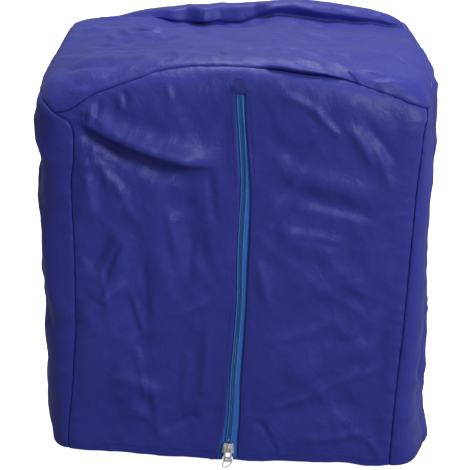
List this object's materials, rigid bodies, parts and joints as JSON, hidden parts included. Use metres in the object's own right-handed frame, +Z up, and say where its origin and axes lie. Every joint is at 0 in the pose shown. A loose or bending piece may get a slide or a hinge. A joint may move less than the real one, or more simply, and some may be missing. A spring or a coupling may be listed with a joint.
{
  "type": "bird cage cover",
  "caption": "Box-shaped fitted cloth cover for a bird cage, open below, with a long coil zip down the middle of its front.",
  "frame": {"origin": "under the middle of the top panel, where it rests on the cage's roof", "axes": "+Z up, -Y towards the zipped front, +X to the right as seen from the front"},
  "size_m": [0.3742, 0.2646, 0.4064],
  "materials": {
    "cover_cloth": "satin polyester weave",
    "zip_tape": "matt woven tape",
    "zip_coil": "nylon coil",
    "zip_metal": "nickel plated"
  },
  "bodies": {
    "root": {"top_panel": "cover_cloth", "front_panel": "cover_cloth", "side_panel_left": "cover_cloth", "side_panel_right": "cover_cloth", "back_panel": "cover_cloth", "zip_tape_left": "zip_tape", "zip_tape_right": "zip_tape", "zip_coil_left": "zip_coil", "zip_coil_right": "zip_coil", "zip_slider": "zip_metal", "zip_pull": "zip_metal", "pull_ring": "zip_metal"}
  },
  "joints": []
}
